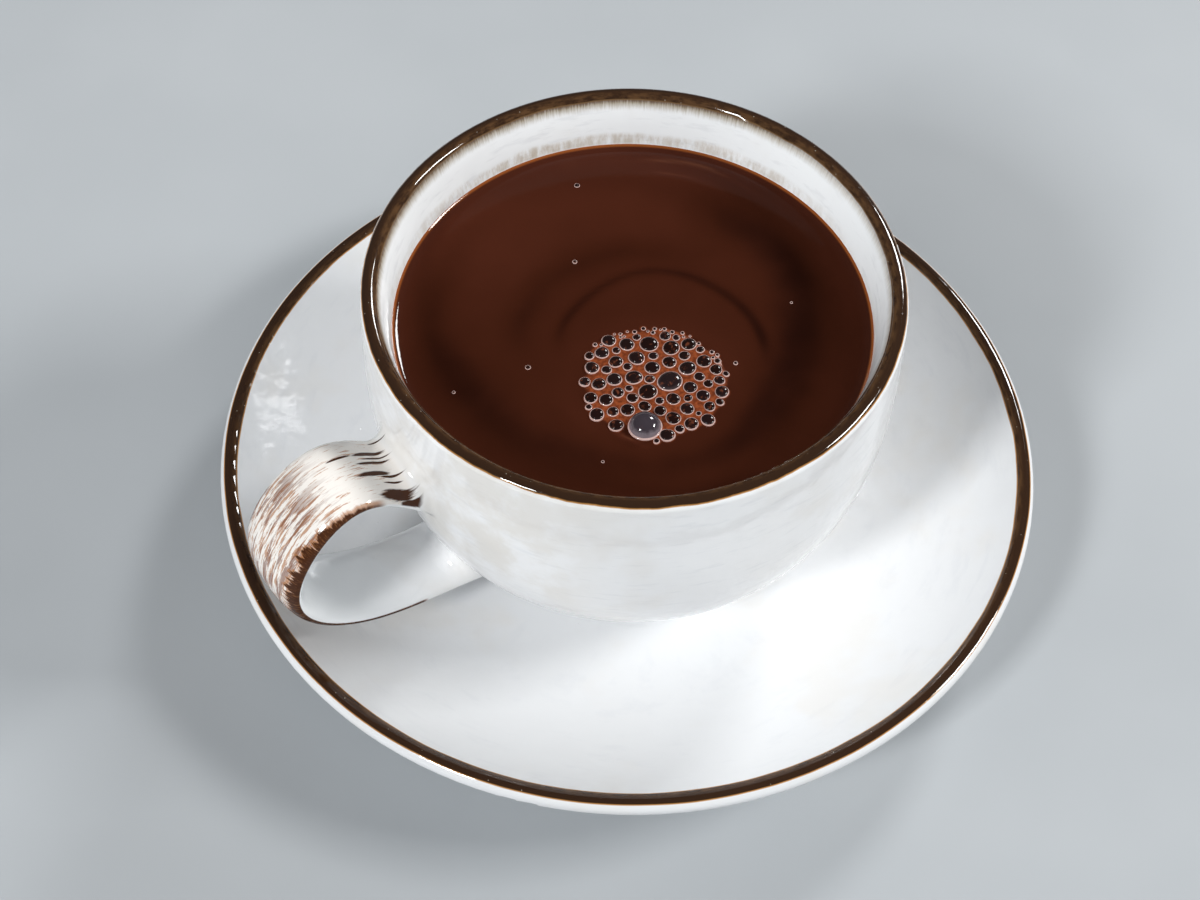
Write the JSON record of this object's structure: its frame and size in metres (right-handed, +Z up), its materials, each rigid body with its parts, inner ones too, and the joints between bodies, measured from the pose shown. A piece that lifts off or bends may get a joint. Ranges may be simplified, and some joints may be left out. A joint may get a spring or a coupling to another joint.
{
  "type": "hot chocolate",
  "caption": "Round thick-walled porcelain cup of hot chocolate with a patch of bubbles, a broad brushed strap handle and brown-rimmed saucer.",
  "frame": {"origin": "on the surface the saucer stands on, at the middle of the saucer, which is also the cup's axis", "axes": "+Z up; the cup's handle points along -X; +Y completes the right-handed frame"},
  "size_m": [0.15, 0.15, 0.0662],
  "materials": {
    "saucer_glaze": "glossy white glaze with faint grey brush rings and a dark brown rim band",
    "cup_glaze": "glossy white glaze with faint grey brush rings, a dark brown rim band and brushed brown streaks along the handle",
    "chocolate": "opaque dark brown drink with a glossy surface, an orange-brown edge and a patch of grey bubbles"
  },
  "bodies": {
    "root": {"saucer": "saucer_glaze", "cup": "cup_glaze", "hot_chocolate": "chocolate"}
  },
  "joints": []
}
